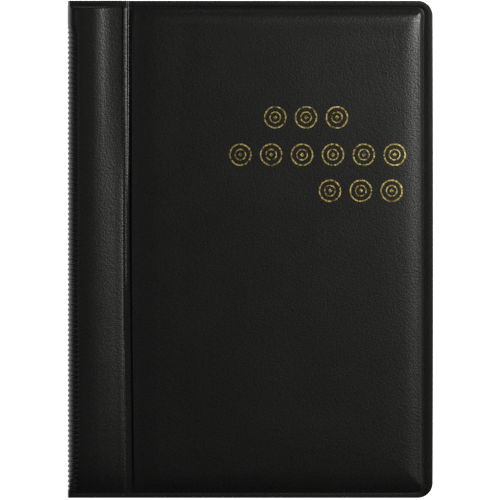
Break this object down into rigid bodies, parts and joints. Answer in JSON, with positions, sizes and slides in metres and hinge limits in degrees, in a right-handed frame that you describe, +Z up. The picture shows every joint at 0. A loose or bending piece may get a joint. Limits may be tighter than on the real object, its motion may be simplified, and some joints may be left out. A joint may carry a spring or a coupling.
{
  "type": "coin album",
  "caption": "Bound coin album with padded black leatherette covers hinged on a rigid ribbed spine block, and clear leaves of small welded coin pockets.",
  "frame": {"origin": "centre of the album's footprint, on the surface that the closed album lies on", "axes": "+Z up out of the front cover, +Y along the spine towards the head of the cover, spine at -X"},
  "size_m": [0.147, 0.2, 0.0181],
  "materials": {
    "leatherette": "fine-pebbled black PVC leatherette, satin",
    "gold_foil": "hot-stamped gold foil",
    "board": "black-dyed bookbinding board",
    "foam": "soft foam sheet",
    "lining": "smooth black PVC lining",
    "clear_film": "clear soft PVC film",
    "label_paper": "white label strip"
  },
  "bodies": {
    "spine_block": {"spine_skin": "leatherette", "spine_board": "board", "front_strip_board": "board", "back_strip_board": "board", "front_strip_foam": "foam", "back_strip_foam": "foam", "spacer_strips": "board", "leaf_stubs": "clear_film", "front_hinge_skin": "leatherette", "back_hinge_skin": "leatherette"},
    "front_cover": {"front_skin": "leatherette", "front_foam": "foam", "front_board": "board", "front_lining": "lining", "foil_ornament": "gold_foil"},
    "back_cover": {"back_skin": "leatherette", "back_foam": "foam", "back_board": "board", "back_lining": "lining"},
    "leaf_01": {"leaf_01_backing": "clear_film", "leaf_01_pockets": "clear_film", "leaf_01_labels": "label_paper"},
    "leaf_02": {"leaf_02_backing": "clear_film", "leaf_02_pockets": "clear_film", "leaf_02_labels": "label_paper"},
    "leaf_03": {"leaf_03_backing": "clear_film", "leaf_03_pockets": "clear_film", "leaf_03_labels": "label_paper"},
    "leaf_04": {"leaf_04_backing": "clear_film", "leaf_04_pockets": "clear_film", "leaf_04_labels": "label_paper"},
    "leaf_05": {"leaf_05_backing": "clear_film", "leaf_05_pockets": "clear_film", "leaf_05_labels": "label_paper"},
    "leaf_06": {"leaf_06_backing": "clear_film", "leaf_06_pockets": "clear_film", "leaf_06_labels": "label_paper"},
    "leaf_07": {"leaf_07_backing": "clear_film", "leaf_07_pockets": "clear_film", "leaf_07_labels": "label_paper"},
    "leaf_08": {"leaf_08_backing": "clear_film", "leaf_08_pockets": "clear_film", "leaf_08_labels": "label_paper"},
    "leaf_09": {"leaf_09_backing": "clear_film", "leaf_09_pockets": "clear_film", "leaf_09_labels": "label_paper"},
    "leaf_10": {"leaf_10_backing": "clear_film", "leaf_10_pockets": "clear_film", "leaf_10_labels": "label_paper"}
  },
  "joints": [
    {"name": "front_cover_hinge", "type": "hinge", "parent": "spine_block", "child": "front_cover", "pos_m": [-0.0509, 0, 0.018], "axis": [0, -1, 0], "range_deg": [0, 175], "deforming": ["front_hinge_skin"]},
    {"name": "back_cover_hinge", "type": "hinge", "parent": "spine_block", "child": "back_cover", "pos_m": [-0.0509, 0, 0], "axis": [0, 1, 0], "range_deg": [0, 175], "deforming": ["back_hinge_skin"]},
    {"name": "leaf_01_hinge", "type": "hinge", "parent": "spine_block", "child": "leaf_01", "pos_m": [-0.0509, 0, 0.018], "axis": [0, -1, 0], "range_deg": [0, 172.03]},
    {"name": "leaf_02_hinge", "type": "hinge", "parent": "spine_block", "child": "leaf_02", "pos_m": [-0.0509, 0, 0.018], "axis": [0, -1, 0], "range_deg": [0, 169.06]},
    {"name": "leaf_03_hinge", "type": "hinge", "parent": "spine_block", "child": "leaf_03", "pos_m": [-0.0509, 0, 0.018], "axis": [0, -1, 0], "range_deg": [0, 166.08]},
    {"name": "leaf_04_hinge", "type": "hinge", "parent": "spine_block", "child": "leaf_04", "pos_m": [-0.0509, 0, 0.018], "axis": [0, -1, 0], "range_deg": [0, 163.11]},
    {"name": "leaf_05_hinge", "type": "hinge", "parent": "spine_block", "child": "leaf_05", "pos_m": [-0.0509, 0, 0.018], "axis": [0, -1, 0], "range_deg": [0, 160.13]},
    {"name": "leaf_06_hinge", "type": "hinge", "parent": "spine_block", "child": "leaf_06", "pos_m": [-0.0509, 0, 0], "axis": [0, 1, 0], "range_deg": [0, 160.13]},
    {"name": "leaf_07_hinge", "type": "hinge", "parent": "spine_block", "child": "leaf_07", "pos_m": [-0.0509, 0, 0], "axis": [0, 1, 0], "range_deg": [0, 163.11]},
    {"name": "leaf_08_hinge", "type": "hinge", "parent": "spine_block", "child": "leaf_08", "pos_m": [-0.0509, 0, 0], "axis": [0, 1, 0], "range_deg": [0, 166.08]},
    {"name": "leaf_09_hinge", "type": "hinge", "parent": "spine_block", "child": "leaf_09", "pos_m": [-0.0509, 0, 0], "axis": [0, 1, 0], "range_deg": [0, 169.06]},
    {"name": "leaf_10_hinge", "type": "hinge", "parent": "spine_block", "child": "leaf_10", "pos_m": [-0.0509, 0, 0], "axis": [0, 1, 0], "range_deg": [0, 172.03]}
  ],
  "couplings": [
    {"joint": "leaf_01_hinge", "follows": "front_cover_hinge", "ratio": 0.983},
    {"joint": "leaf_02_hinge", "follows": "front_cover_hinge", "ratio": 0.966},
    {"joint": "leaf_03_hinge", "follows": "front_cover_hinge", "ratio": 0.949},
    {"joint": "leaf_04_hinge", "follows": "front_cover_hinge", "ratio": 0.932},
    {"joint": "leaf_05_hinge", "follows": "front_cover_hinge", "ratio": 0.915},
    {"joint": "leaf_06_hinge", "follows": "back_cover_hinge", "ratio": 0.915},
    {"joint": "leaf_07_hinge", "follows": "back_cover_hinge", "ratio": 0.932},
    {"joint": "leaf_08_hinge", "follows": "back_cover_hinge", "ratio": 0.949},
    {"joint": "leaf_09_hinge", "follows": "back_cover_hinge", "ratio": 0.966},
    {"joint": "leaf_10_hinge", "follows": "back_cover_hinge", "ratio": 0.983}
  ]
}
